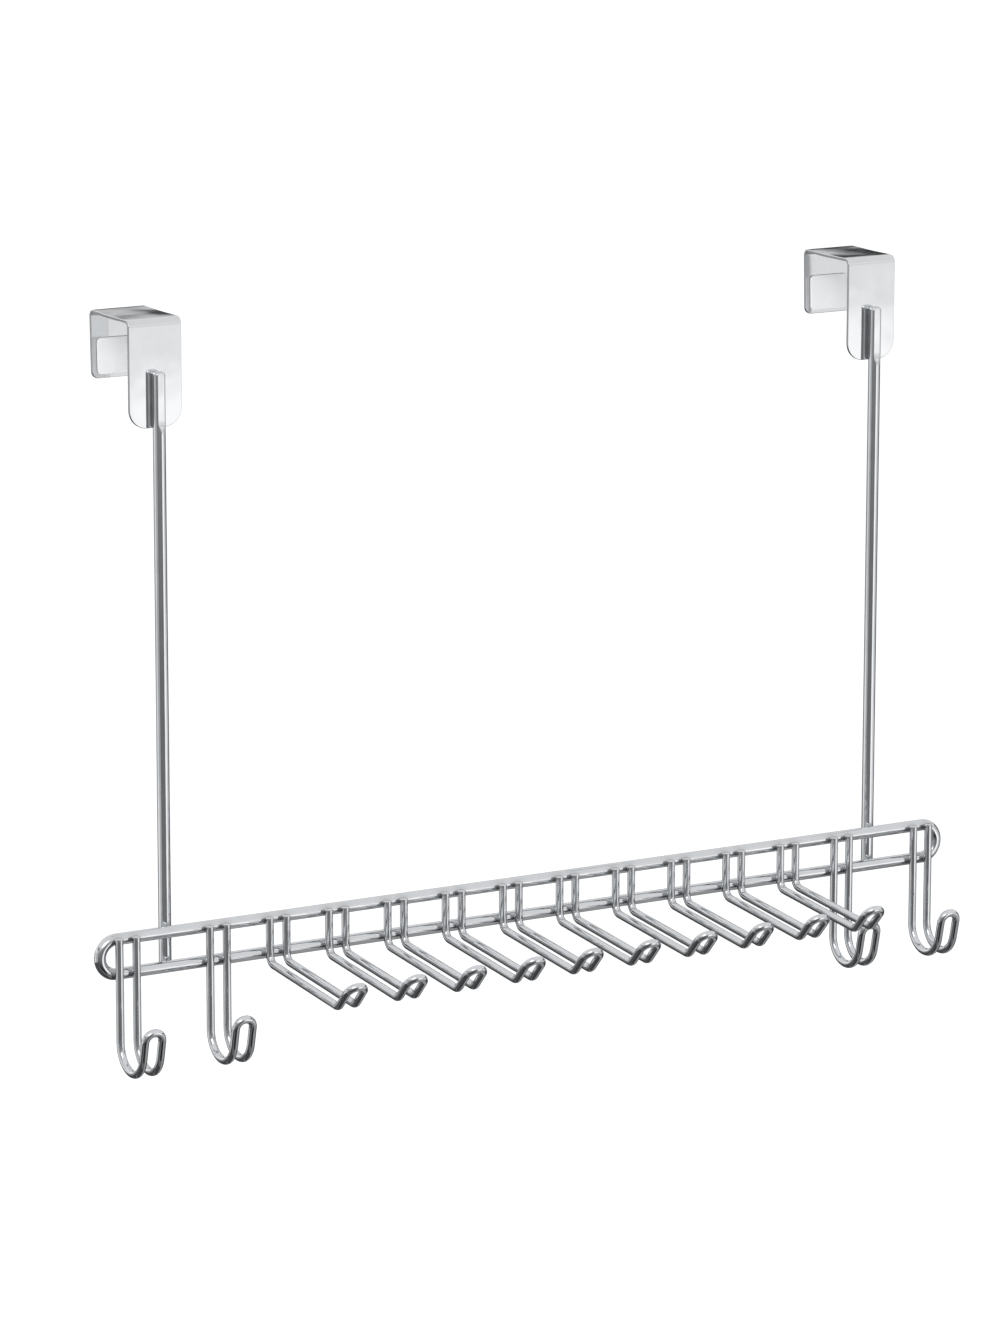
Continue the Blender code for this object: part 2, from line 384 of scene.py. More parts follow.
@dataclass(frozen=True)
class AcrylicTape(Finish):
    """White double-sided tape between foam and steel: a thin, slightly waxy film."""

    name: str = "acrylic_tape"
    slot: Slot = Slot.FOAM
    clean: str = "e4e4df"
    stain: str = "d2d1c8"
    grain_mm: float = 1.2
    grain_octaves: float = 3.0
    roughness: float = 0.45
    ior: float = 1.47

    def shader(self, tree: NodeTree) -> NodeSocket:
        """Lays out the tape's nodes.

        Args:
            tree: the material's empty tree.

        Returns:
            The shader's output.
        """
        place = add_node(tree, "TexCoord", output="Object")
        grain = add_node(tree, "TexNoise", {
            "Vector": place, "Scale": 1 / (self.grain_mm * MM), "Detail": self.grain_octaves,
        })
        colour = add_node(tree, "Mix", {
            MIX_FACTOR: grain, COLOUR_A: self.clean, COLOUR_B: self.stain,
        }, COLOUR, data_type="RGBA")
        return add_node(tree, "BsdfPrincipled", {
            "Base Color": colour, "Roughness": self.roughness, "IOR": self.ior,
        })


@dataclass
class Workshop:
    """Turns finished meshes into pieces of the rack."""

    wire_chrome: ChromePlate = ChromePlate("chrome_on_drawn_wire", Slot.WIRE)
    strip_chrome: ChromePlate = ChromePlate(
        "chrome_on_rolled_strip", Slot.STRIP, bright="e4e5e6", deep="dadbdc", ripple_bump=0.006
    )
    weld_chrome: ChromePlate = ChromePlate(
        "chrome_on_weld", Slot.WIRE, roughness_low=0.14, roughness_high=0.26
    )
    foam: ClosedCellFoam = ClosedCellFoam()
    tape: AcrylicTape = AcrylicTape()

    def __post_init__(self) -> None:
        """Makes each finish's material once."""
        finishes = (self.wire_chrome, self.strip_chrome, self.weld_chrome, self.foam, self.tape)
        self.materials = {finish.name: finish.material() for finish in finishes}

    def piece(self, name: str, shape: BMesh, finish: Finish, replaced: str = "") -> Object:
        """Makes a mesh a piece that rides on the rack's only body.

        Args:
            name: the piece's name.
            shape: its mesh, which is freed.
            finish: the finish that it wears.
            replaced: the CAD node that it stands for, if any.

        Returns:
            The new object.
        """
        made = add_mesh(name, shape, self.materials[finish.name])
        made.data.shade_smooth()
        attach(made, "root")
        if replaced:
            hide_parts(replaced)
        LOG.info("%s: %d faces, %s", name, len(made.data.polygons), finish.name)
        return made


@dataclass(frozen=True)
class Gauge:
    """A round wire's thickness, its rounded ends and how finely it is drawn."""

    diameter: float
    facets: int
    end_round: float = 0.25 * MM
    end_steps: int = 2
    ring_step: float = 1.6 * MM
    bend_step: float = math.radians(6.0)


class WireBender:
    """Forms one round wire: a ring is extruded along its runs and spun round its bends."""

    def __init__(self, gauge: Gauge, start: Vector, heading: Vector) -> None:
        """Sets the first ring.

        Args:
            gauge: the wire's thickness.
            start: the middle of the ring.
            heading: the direction that the wire sets off in.
        """
        self.gauge = gauge
        self.place = start.copy()
        self.heading = heading.normalized()
        self.along = 0.0
        self.shape = bmesh.new()
        self.space = self.shape.verts.layers.float_vector.new(WIRE_SPACE)
        turned = self.heading.to_track_quat("Z", "Y").to_matrix().to_4x4()
        radius = gauge.diameter / 2
        bmesh.ops.create_circle(self.shape, segments=gauge.facets, radius=radius)
        for vertex in self.shape.verts:
            vertex[self.space] = vertex.co
        place = Matrix.Translation(start) @ turned
        bmesh.ops.transform(self.shape, verts=self.shape.verts, matrix=place)
        self.ring = list(self.shape.edges)
        self.first = (self.ring, self.place.copy(), -self.heading)

    def _extrude(self, ring: list[BMEdge], push: Vector) -> tuple[list[BMEdge], list[BMVert]]:
        """Extrudes an open end.

        Args:
            ring: the end's edges.
            push: how far the new ring goes.

        Returns:
            The new ring's edges and vertices.
        """
        made = bmesh.ops.extrude_edge_only(self.shape, edges=ring)["geom"]
        fresh = [item for item in made if isinstance(item, BMVert)]
        bmesh.ops.translate(self.shape, verts=fresh, vec=push)
        return [item for item in made if isinstance(item, BMEdge) and item.is_boundary], fresh

    def run(self, length: float) -> None:
        """Draws the wire straight on.

        Args:
            length: the run's length.
        """
        self.ring, fresh = self._extrude(self.ring, self.heading * length)
        self.along += length
        for vertex in fresh:
            vertex[self.space].z = self.along
        self.place += self.heading * length
        cuts = round(length / self.gauge.ring_step) - 1
        if cuts > 0:
            linked = [edge for vertex in fresh for edge in vertex.link_edges]
            lengthwise = [edge for edge in linked if not edge.is_boundary]
            bmesh.ops.subdivide_edges(self.shape, edges=lengthwise, cuts=cuts)

    def bend(self, axis: Vector, angle: float, radius: float) -> None:
        """Bends the wire round an axis, by the right-hand rule.

        Args:
            axis: the bend's axis, square to the wire.
            angle: how far the wire turns; below zero it turns the other way.
            radius: the bend's radius at the wire's middle.
        """
        axis = axis.normalized() * math.copysign(1.0, angle)
        angle = abs(angle)
        centre = self.place + axis.cross(self.heading) * radius
        count = len(self.shape.verts)
        made = bmesh.ops.spin(
            self.shape, geom=self.ring, cent=centre, axis=axis, dvec=(0.0, 0.0, 0.0), angle=angle,
            steps=math.ceil(angle / self.gauge.bend_step), use_merge=False, use_duplicate=False,
        )
        start_arm = (self.place - centre).normalized()
        self.shape.verts.ensure_lookup_table()
        for vertex in self.shape.verts[count:]:
            arm = vertex.co - centre
            turned = math.atan2(arm.dot(self.heading), arm.dot(start_arm)) % (2 * math.pi)
            vertex[self.space].z = self.along + radius * turned
        self.along += radius * angle
        self.ring = [item for item in made["geom_last"] if isinstance(item, BMEdge)]
        turn = Matrix.Rotation(angle, 3, axis)
        self.place = centre + turn @ (self.place - centre)
        self.heading = turn @ self.heading

    def cut_ends(self) -> None:
        """Draws both ends in along a quarter round and closes them."""
        depth, steps, radius = self.gauge.end_round, self.gauge.end_steps, self.gauge.diameter / 2
        for ring, place, outward in (self.first, (self.ring, self.place, self.heading)):
            reached, width = 0.0, radius
            for step in range(1, steps + 1):
                angle = math.pi / 2 * step / steps
                reach = depth * math.sin(angle)
                new_width = radius - depth * (1 - math.cos(angle))
                ring, fresh = self._extrude(ring, outward * (reach - reached))
                middle = Matrix.Translation(-(place + outward * reach))
                bmesh.ops.scale(self.shape, verts=fresh, vec=[new_width / width] * 3, space=middle)
                reached, width = reach, new_width
            bmesh.ops.contextual_create(self.shape, geom=ring)

    def closed(self) -> BMesh:
        """Merges the wire's seam, which rounding leaves a little open, and turns its faces out.

        Returns:
            The wire.
        """
        bmesh.ops.remove_doubles(self.shape, verts=self.shape.verts, dist=SEAM_GAP)
        bmesh.ops.recalc_face_normals(self.shape, faces=self.shape.faces)
        return self.shape


@dataclass(frozen=True)
class RackSizes:
    """Sizes that the sub-assemblies share; where things lie comes from the CAD nodes' boxes."""

    rail_wire: float = 5.6 * MM
    rod_wire: float = 6.0 * MM
    hook_wire: float = 3.8 * MM
    hairpin_spacing: float = 8.8 * MM
    strip_thickness: float = 1.5 * MM
    back_lean: float = math.radians(2.0)
    weld_gap: float = 0.3 * MM
    bloom: float = 3.2 * MM

    @property
    def rail_y(self) -> float:
        """Returns the rail wire's middle, front to back."""
        return node_centre("rail_loop").y

    @property
    def run_heights(self) -> tuple[float, float]:
        """Returns the middles of the loop's upper and lower run."""
        low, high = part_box("rail_loop")
        return high[2] - self.rail_wire / 2, low[2] + self.rail_wire / 2

    def rail_welds(self, xs: Iterable[float], side: int) -> list[Vector]:
        """Finds where wires are welded to both runs of the rail.

        Args:
            xs: the wires' places along the rail.
            side: 1 for wires behind the rail, -1 for those in front.

        Returns:
            The welds' middles.
        """
        y = self.rail_y + side * (self.rail_wire + self.weld_gap) / 2
        return [Vector((x, y, height)) for x in xs for height in self.run_heights]


@dataclass
class RailLoop:
    """The long ring of thick wire that carries every hook."""

    sizes: RackSizes
    facets: int = 40

    def build(self, shop: Workshop, welds: list[Vector]) -> None:
        """Bends the loop and closes it with its butt weld at the lower run's middle.

        Args:
            shop: makes the piece.
            welds: every weld on the loop.
        """
        low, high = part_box("rail_loop")
        upper, lower = self.sizes.run_heights
        round_radius = (upper - lower) / 2
        half = (high[0] - low[0]) / 2 - self.sizes.rail_wire / 2 - round_radius
        start = Vector((0.0, self.sizes.rail_y, lower))
        bender = WireBender(Gauge(self.sizes.rail_wire, self.facets), start, X_AXIS)
        for length in (half, 2 * half):
            bender.run(length)
            bender.bend(UPWARD_TURN, math.pi, round_radius)
        bender.run(half)
        shape = bender.closed()
        shade_welds(shape, welds, self.sizes.bloom)
        shop.piece("chrome_rail_loop", shape, shop.wire_chrome, "rail_loop")


@dataclass
class HangerRod:
    """One straight rod, rounded at both ends."""

    sizes: RackSizes
    side: Side
    facets: int = 40
    end_round: float = 1.6 * MM
    end_steps: int = 6
    pressed_flat: float = 0.7 * MM
    press_fade: float = 1.2 * MM
    rail_bead: float = 1.7 * MM
    lap_bead: float = 1.5 * MM
    lap_stretch: float = 7.0 * MM
    lap_shares: tuple[float, float] = (0.28, 0.72)

    @property
    def node(self) -> str:
        """Returns the CAD node that the rod stands for."""
        return f"hanger_rod_{self.side.value}"

    @property
    def bracket(self) -> str:
        """Returns the CAD node of the rod's bracket."""
        return f"door_bracket_{self.side.value}"

    @property
    def rail_welds(self) -> list[Vector]:
        """Returns the middles of the rod's welds to the rail."""
        return self.sizes.rail_welds([node_centre(self.node).x], 1)

    @property
    def lap_welds(self) -> list[Vector]:
        """Finds the rod's welds to its bracket, over their lap.

        Returns:
            The welds' middles.
        """
        x, top = node_centre(self.node).x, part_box(self.node)[1][2]
        _, front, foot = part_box(self.bracket)[0]
        y = front - self.sizes.weld_gap / 2
        return [Vector((x, y, foot + (top - foot) * share)) for share in self.lap_shares]

    def build(self, shop: Workshop) -> None:
        """Draws the rod from its top end down, with its weld beads.

        Args:
            shop: makes the pieces.
        """
        low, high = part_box(self.node)
        middle = node_centre(self.node)
        gauge = Gauge(self.sizes.rod_wire, self.facets, self.end_round, self.end_steps)
        start = Vector((middle.x, middle.y, high[2] - self.end_round))
        bender = WireBender(gauge, start, DOWN)
        bender.run(high[2] - low[2] - 2 * self.end_round)
        bender.cut_ends()
        shape = bender.closed()
        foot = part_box(self.bracket)[0][2]
        for vertex in shape.verts:
            # The welding jaws pressed the rod's front flat over the lap.
            held = min(1.0, max(0.0, (vertex.co.z - foot) / self.press_fade))
            vertex.co.y = max(vertex.co.y, low[1] + self.pressed_flat * held)
        shade_welds(shape, self.rail_welds + self.lap_welds, self.sizes.bloom)
        shop.piece(f"chrome_{self.node}", shape, shop.wire_chrome, self.node)
        for kind, places, size, stretch in (
            ("rail", self.rail_welds, self.rail_bead, 0.0),
            ("lap", self.lap_welds, self.lap_bead, self.lap_stretch),
        ):
            name = f"{kind}_welds_{self.side.value}"
            WeldBeads(name, places, width=size, height=size, stretch=stretch).build(shop)


@dataclass
class Hairpin:
    """A wire folded double: down one leg, round the tip and back up the other."""

    sizes: RackSizes
    node: str
    facets: int = 28

    def leg_path(self) -> WirePath:
        """Returns one leg's runs, from its top to the tip, and the bends between them."""
        raise NotImplementedError

    @property
    def gauge(self) -> Gauge:
        """Returns the hairpin's wire."""
        return Gauge(self.sizes.hook_wire, self.facets)

    @property
    def leg_xs(self) -> tuple[float, float]:
        """Returns where the legs stand along the rail."""
        middle, half = node_centre(self.node).x, self.sizes.hairpin_spacing / 2
        return middle - half, middle + half

    @property
    def shoulder(self) -> float:
        """Returns the height where the legs' rounded ends begin."""
        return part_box(self.node)[1][2] - self.gauge.end_round

    @property
    def welds(self) -> list[Vector]:
        """Returns the middles of the four welds to the rail."""
        return self.sizes.rail_welds(self.leg_xs, -1)

    def build(self, shop: Workshop) -> None:
        """Bends the hairpin.

        Args:
            shop: makes the piece.
        """
        wires = self.sizes.rail_wire + self.sizes.hook_wire
        y = self.sizes.rail_y - wires / 2 - self.sizes.weld_gap
        bender = WireBender(self.gauge, Vector((self.leg_xs[0], y, self.shoulder)), DOWN)
        runs, bends = self.leg_path()
        for length, (angle, radius) in zip(runs, bends):
            bender.run(length)
            bender.bend(FORWARD_TURN, angle, radius)
        bender.run(runs[-1])
        fold_axis = bender.heading.cross(X_AXIS)
        bender.bend(fold_axis, math.pi, self.sizes.hairpin_spacing / 2)
        bender.run(runs[-1])
        for length, (angle, radius) in zip(runs[-2::-1], bends[::-1]):
            bender.bend(FORWARD_TURN, -angle, radius)
            bender.run(length)
        bender.cut_ends()
        shape = bender.closed()
        shade_welds(shape, self.welds, self.sizes.bloom)
        shop.piece(f"chrome_{self.node}", shape, shop.wire_chrome, self.node)


@dataclass
class CoatHook(Hairpin):
    """A deep hook: long shanks, a round bottom and a tip that leans out."""

    radius: float = 12.0 * MM
    tip_lean: float = math.radians(13.0)
    tip_rise: float = 22.6 * MM

    def leg_path(self) -> WirePath:
        """Works out one leg.

        Returns:
            Its two runs and its bend.
        """
        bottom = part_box(self.node)[0][2] + self.sizes.hook_wire / 2
        turn = math.pi - self.tip_lean
        tangent = self.radius * math.tan((turn - math.pi / 2) / 2)
        tip = self.tip_rise / math.cos(self.tip_lean) - tangent - self.sizes.hairpin_spacing / 2
        return [self.shoulder - bottom - self.radius, tip], [(turn, self.radius)]


@dataclass
class HangerArm(Hairpin):
    """A long arm: forward under the loop, falling a little, with its tip turned up."""

    neck: float = 3.9 * MM
    neck_radius: float = 4.5 * MM
    reach: float = 68.0 * MM
    fall: float = 5.0 * MM
    elbow_radius: float = 5.0 * MM
    tip_reach: float = 10.8 * MM
    tip_rise: float = 11.5 * MM

    def leg_path(self) -> WirePath:
        """Works out one leg.

        Returns:
            Its three runs and two bends.
        """
        slope = math.atan2(self.fall, self.reach)
        neck_turn = math.pi / 2 - slope
        elbow_turn = slope + math.atan2(self.tip_rise, self.tip_reach)
        neck_tangent = self.neck_radius * math.tan(neck_turn / 2)
        elbow_tangent = self.elbow_radius * math.tan(elbow_turn / 2)
        drop = self.shoulder - self.sizes.run_heights[1] + self.neck
        arm = math.hypot(self.reach, self.fall)
        tip = math.hypot(self.tip_reach, self.tip_rise)
        runs = [
            drop - neck_tangent,
            arm - neck_tangent - elbow_tangent,
            tip - elbow_tangent - self.sizes.hairpin_spacing / 2,
        ]
        return runs, [(neck_turn, self.neck_radius), (elbow_turn, self.elbow_radius)]


@dataclass
class WeldBeads:
    """Squeezed-out metal where wires were pressed together and welded.

    A bead is dull all over, so its bloom reaches many times its height.
    """

    name: str
    places: list[Vector]
    width: float = 1.25 * MM
    height: float = 1.5 * MM
    thickness: float = 0.75 * MM
    stretch: float = 0.0
    facets: int = 24
    rings: int = 16
    bloom_heights: float = 10.0

    def build(self, shop: Workshop) -> None:
        """Makes a flattened bead at each place.

        Args:
            shop: makes the piece.
        """
        shape = bmesh.new()
        space = shape.verts.layers.float_vector.new(WIRE_SPACE)
        flattened = Matrix.Diagonal((self.width, self.thickness, self.height, 1.0))
        for place in self.places:
            bead = bmesh.ops.create_uvsphere(
                shape, u_segments=self.facets, v_segments=self.rings, radius=1.0, matrix=flattened
            )["verts"]
            for vertex in bead:
                vertex.co.z += math.copysign(self.stretch / 2, vertex.co.z)
                vertex.co += place
                vertex[space] = vertex.co
        bmesh.ops.recalc_face_normals(shape, faces=shape.faces)
        shade_welds(shape, self.places, self.bloom_heights * self.height)
        shop.piece(self.name, shape, shop.weld_chrome)


@dataclass
class DoorBracket:
    """Flat strip folded over the door, with a long front leg and a short back leg."""

    sizes: RackSizes
    side: Side
    bend_radius: float = 1.8 * MM
    front_corner: float = 9.0 * MM
    back_corner: float = 3.5 * MM
    back_drop: float = 31.0 * MM
    gap: float = 38.0 * MM
    bend_steps: int = 14
    corner_steps: int = 14
    flat_margin: float = 0.4 * MM
    crown: float = 0.2 * MM
    crown_cuts: int = 14
    edge_round: float = 0.32 * MM
    edge_segments: int = 3

    @property
    def node(self) -> str:
        """Returns the CAD node that the bracket stands for."""
        return f"door_bracket_{self.side.value}"

    def _cut(self, shape: BMesh, way: Vector, places: Iterable[float]) -> None:
        """Adds straight lines of points to the blank.

        Args:
            shape: the blank.
            way: the direction that the places are measured in, square to the lines.
            places: where the lines lie.
        """
        for place in places:
            bmesh.ops.bisect_plane(
                shape, geom=shape.verts[:] + shape.edges[:] + shape.faces[:], dist=SAME_POINT,
                plane_co=way * place, plane_no=way,
            )

    def build(self, shop: Workshop, welds: list[Vector]) -> None:
        """Cuts, folds and thickens the bracket.

        Args:
            shop: makes the piece.
            welds: the bracket's welds to its rod.
        """
        low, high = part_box(self.node)
        width = high[0] - low[0]
        thickness, back_lean = self.sizes.strip_thickness, self.sizes.back_lean
        middle_radius = self.bend_radius + thickness / 2
        back_turn = math.pi / 2 + back_lean
        back_tangent = middle_radius * math.tan(back_turn / 2)
        top_height = high[2] - thickness / 2
        front_leg = top_height - low[2] - middle_radius
        top_run = self.gap + thickness - middle_radius - back_tangent
        back_leg = (top_height + self.back_drop) / math.cos(back_lean) - back_tangent
        shares = [0.5] + [1.0] * (self.bend_steps - 1) + [0.5]
        folds, reached = [], front_leg
        for turn, after in ((math.pi / 2, top_run), (back_turn, back_leg)):
            step = turn / self.bend_steps
            chord = 2 * middle_radius * math.sin(step / 2)
            folds += [(reached + n * chord, share * step) for n, share in enumerate(shares)]
            reached += self.bend_steps * chord + after
        shape = bmesh.new()
        space = shape.verts.layers.float_vector.new(WIRE_SPACE)
        blank = rectangle(shape, width, reached, Matrix.Translation((0.0, reached / 2, 0.0)))
        blank.sort(key=lambda corner: corner.co.y)
        round_corners(shape, blank[:2], self.front_corner, self.corner_steps)
        round_corners(shape, blank[2:], self.back_corner, self.corner_steps)
        top_start, cuts = folds[self.bend_steps][0], self.crown_cuts
        lines = [distance for distance, _ in folds]
        lines += [top_start + top_run * cut / cuts for cut in range(1, cuts)]
        lines += [front_leg - self.flat_margin, reached - back_leg + self.flat_margin]
        self._cut(shape, Y_AXIS, lines)
        self._cut(shape, X_AXIS, [width / 2 * (2 * cut / cuts - 1) for cut in range(1, cuts)])
        for vertex in shape.verts:
            vertex[space] = Vector((vertex.co.x, 0.0, vertex.co.y))
            vertex.co = vertex[space]
            share = (vertex.co.z - top_start) / top_run
            if 0.0 < share < 1.0:
                # The strip's sides drop a little between the bends when it is folded.
                drop = self.crown * (vertex.co.x / (width / 2)) ** 2
                vertex.co.y += drop * math.sin(math.pi * share) ** 2
        place = Vector((node_centre(self.node).x, low[1] + thickness / 2, low[2]))
        bmesh.ops.translate(shape, verts=shape.verts, vec=place)
        for distance, angle in folds:
            hinge = [v for v in shape.verts if abs(v[space].z - distance) < SAME_POINT]
            beyond = [v for v in shape.verts if v[space].z > distance + SAME_POINT]
            turn = Matrix.Rotation(-angle, 3, "X")
            bmesh.ops.rotate(shape, verts=beyond, cent=hinge[0].co, matrix=turn)
        shade_welds(shape, welds, self.sizes.bloom)
        bracket = shop.piece(f"chrome_{self.node}", shape, shop.strip_chrome, self.node)
        wall = bracket.modifiers.new("strip_thickness", "SOLIDIFY")
        wall.thickness = thickness
        wall.offset = 0.0
        wall.use_even_offset = True
        edge = bracket.modifiers.new("tumbled_edge", "BEVEL")
        edge.width = self.edge_round
        edge.segments = self.edge_segments
        edge.limit_method = "ANGLE"
        edge.angle_limit = SHARP_EDGE
        edge.harden_normals = True


@dataclass
class FoamPad:
    """A die-cut foam pad with its tape, on a leg's door side."""

    sizes: RackSizes
    side: Side
    leg: Leg
    thickness: float = 0.8 * MM
    corner: float = 2.0 * MM
    corner_steps: int = 8
    edge_round: float = 0.28 * MM
    edge_segments: int = 3
    tape_fill: float = 0.8
    tape_margin: float = 0.3 * MM

    @property
    def node(self) -> str:
        """Returns the CAD node that the pad stands for."""
        return f"{self.leg.value}_pad_{self.side.value}"

    def _slab(self, thickness: float, offset: float, margin: float) -> BMesh:
        """Cuts a rounded slab, stands it up and sets it beside its leg.

        Args:
            thickness: the slab's thickness.
            offset: how far its middle lies from the pad's, towards the leg.
            margin: how much smaller it is all round.

        Returns:
            The slab's mesh.
        """
        low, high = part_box(self.node)
        lean = self.sizes.back_lean if self.leg is Leg.BACK else 0.0
        towards_leg = 1.0 if self.leg is Leg.BACK else -1.0
        width = high[0] - low[0] - 2 * margin
        height = (high[2] - low[2] - math.sin(lean) * self.thickness) / math.cos(lean)
        facing = Vector((0.0, -math.cos(lean), math.sin(lean)))
        rear = node_centre(self.node) - facing * (towards_leg * offset + thickness / 2)
        place = Matrix.Translation(rear) @ Matrix.Rotation(math.pi / 2 - lean, 4, "X")
        shape = bmesh.new()
        corners = rectangle(shape, width, height - 2 * margin, place)
        round_corners(shape, corners, self.corner, self.corner_steps)
        lifted = bmesh.ops.extrude_face_region(shape, geom=shape.faces[:])["geom"]
        top = [item for item in lifted if isinstance(item, BMVert)]
        bmesh.ops.translate(shape, verts=top, vec=facing * thickness)
        bmesh.ops.recalc_face_normals(shape, faces=shape.faces)
        return shape

    def build(self, shop: Workshop) -> None:
        """Makes the foam and the tape behind it.

        Args:
            shop: makes the pieces.
        """
        slab = self._slab(self.thickness, 0.0, 0.0)
        foam = shop.piece(f"foam_{self.node}", slab, shop.foam, self.node)
        edge = foam.modifiers.new("soft_edge", "BEVEL")
        edge.width = self.edge_round
        edge.segments = self.edge_segments
        edge.limit_method = "ANGLE"
        edge.angle_limit = SHARP_EDGE
        gap = self.sizes.weld_gap
        film = self._slab(gap * self.tape_fill, (self.thickness + gap) / 2, self.tape_margin)
        shop.piece(f"tape_{self.node}", film, shop.tape)


@dataclass(frozen=True)
class PhotoView:
    """Where the photograph was taken from, fitted to the rack's own points.

    The anchor is the rail loop's middle and where it is seen, in a frame of 1000 by 1333 pixels.
    """

    azimuth: float = math.radians(-29.777)
    elevation: float = math.radians(12.398)
    roll: float = math.radians(0.075)
    distance: float = 2.85
    focal_pixels: float = 5911.6
    anchor_pixel: tuple[float, float] = (534.0, 896.6)
    frame_pixels: tuple[float, float] = (1000.0, 1333.0)
    sensor: float = 36.0
    sight_limit: float = 100.0

    def build(self, anchor: Vector) -> None:
        """Makes the camera and sets it as the scene's.

        Args:
            anchor: the rail loop's middle.
        """
        off_centre = Vector(self.anchor_pixel) - Vector(self.frame_pixels) / 2
        off_centre *= self.distance / self.focal_pixels
        data = bpy.data.cameras.new("photo_view")
        data.sensor_width = self.sensor
        data.lens = self.focal_pixels / max(self.frame_pixels) * self.sensor
        data.clip_end = self.sight_limit
        camera = bpy.data.objects.new("photo_view", data)
        camera.matrix_world = (
            Matrix.Translation(anchor)
            @ Matrix.Rotation(self.azimuth, 4, "Z")
            @ Matrix.Rotation(math.pi / 2 - self.elevation, 4, "X")
            @ Matrix.Rotation(self.roll, 4, "Z")
            @ Matrix.Translation((-off_centre.x, off_centre.y, self.distance))
        )
        bpy.context.scene.collection.objects.link(camera)
        bpy.context.scene.camera = camera


@dataclass(frozen=True)
class Floor(Surface):
    """A matt white floor, as far below the door's top edge as a real one lies.

    The camera sees the lit floor plus a glow that lifts it to white, so a shadow still shows.
    """

    name: str = "matt_white_floor"
    colour: str = "f3f3f3"
    roughness: float = 0.9
    lift: float = 0.3
    drop: float = 2.03
    size: float = 80.0

    def shader(self, tree: NodeTree) -> NodeSocket:
        """Lays out the floor's nodes.

        Args:
            tree: the material's empty tree.

        Returns:
            The shader's output.
        """
        plain = add_node(tree, "BsdfPrincipled", {
            "Base Color": self.colour, "Roughness": self.roughness,
        })
        lift = add_node(tree, "Emission", {"Color": WHITE, "Strength": self.lift})
        white = add_node(tree, "AddShader", {0: plain, 1: lift})
        return show_white(tree, plain, white)

    def build(self) -> None:
        """Lays the floor."""
        shape = bmesh.new()
        rectangle(shape, self.size, self.size, Matrix.Translation((0.0, 0.0, -self.drop)))
        add_mesh("studio_floor", shape, self.material())


@dataclass(frozen=True)
class Reflected(Surface):
    """A glowing panel that only reflections show: a painted reflection, which lights and shades
    nothing.
    """

    def hang(self, width: float, length: float, place: Matrix) -> None:
        """Hangs the part as a rectangle that is hidden from all but reflections.

        Args:
            width: the rectangle's width.
            length: its length.
            place: where it goes, and how it is turned.
        """
        shape = bmesh.new()
        rectangle(shape, width, length, place)
        made = add_mesh(self.name, shape, self.material())
        for rays in ("camera", "diffuse", "shadow", "transmission"):
            setattr(made, f"visible_{rays}", False)


@dataclass(frozen=True)
class Card(Reflected):
    """An upright glowing card, a painted reflection, from one grey at its foot to another at its
    top.

    It faces the rack from an azimuth, in degrees: 0 is behind the rack, 90 to its right and 180 in
    front. Sideways places are metres to the right of there, heights metres above the door's edge.
    Its glow has soft level bands: painted unevenness in the reflection.
    """

    foot_grey: str
    top_grey: str
    azimuth: float
    distance: float
    sideways: tuple[float, float]
    heights: tuple[float, float]
    strength: float = 1.0
    unevenness: float = 0.3
    band_height: float = 0.22
    band_octaves: float = 1.0
    band_span: tuple[float, float] = (0.25, 0.75)

    def shader(self, tree: NodeTree) -> NodeSocket:
        """Lays out the card's nodes.

        Args:
            tree: the material's empty tree.

        Returns:
            The shader's output.
        """
        place = add_node(tree, "TexCoord", output="Object")
        height = add_node(tree, "SeparateXYZ", {"Vector": place}, "Z")
        share = add_node(tree, "MapRange", {
            "Value": height, "From Min": self.heights[0], "From Max": self.heights[1],
        })
        grey = add_node(tree, "Mix", {
            MIX_FACTOR: share, COLOUR_A: self.foot_grey, COLOUR_B: self.top_grey,
        }, COLOUR, data_type="RGBA")
        bands = add_node(tree, "TexNoise", {
            "W": height, "Scale": 1 / self.band_height, "Detail": self.band_octaves,
        }, noise_dimensions="1D")
        # Painted reflection: the glow's strength rises and falls in soft level bands.
        strength = add_node(tree, "MapRange", {
            "Value": bands, "From Min": self.band_span[0], "From Max": self.band_span[1],
            "To Min": self.strength * (1 - self.unevenness),
            "To Max": self.strength * (1 + self.unevenness),
        })
        return add_node(tree, "Emission", {"Color": grey, "Strength": strength})

    def build(self, middle: Vector) -> None:
        """Hangs the card.

        Args:
            middle: the rack's middle.
        """
        (left, right), (foot, top) = self.sideways, self.heights
        self.hang(right - left, top - foot, (
            Matrix.Translation((middle.x, middle.y, 0.0))
            @ Matrix.Rotation(-math.radians(self.azimuth), 4, "Z")
            @ Matrix.Translation(((left + right) / 2, self.distance, (foot + top) / 2))
            @ Matrix.Rotation(math.pi / 2, 4, "X")
        ))


@dataclass(frozen=True)
class Sheet(Reflected):
    """A level glowing card above or below the rack, a painted reflection with an even glow."""

    grey: str
    low: tuple[float, float]
    high: tuple[float, float]
    height: float

    def shader(self, tree: NodeTree) -> NodeSocket:
        """Returns an even glow in the sheet's grey."""
        return add_node(tree, "Emission", {"Color": self.grey})

    def build(self) -> None:
        """Hangs the sheet level at its height."""
        (left, near), (right, far) = self.low, self.high
        place = Matrix.Translation(((left + right) / 2, (near + far) / 2, self.height))
        self.hang(right - left, far - near, place)


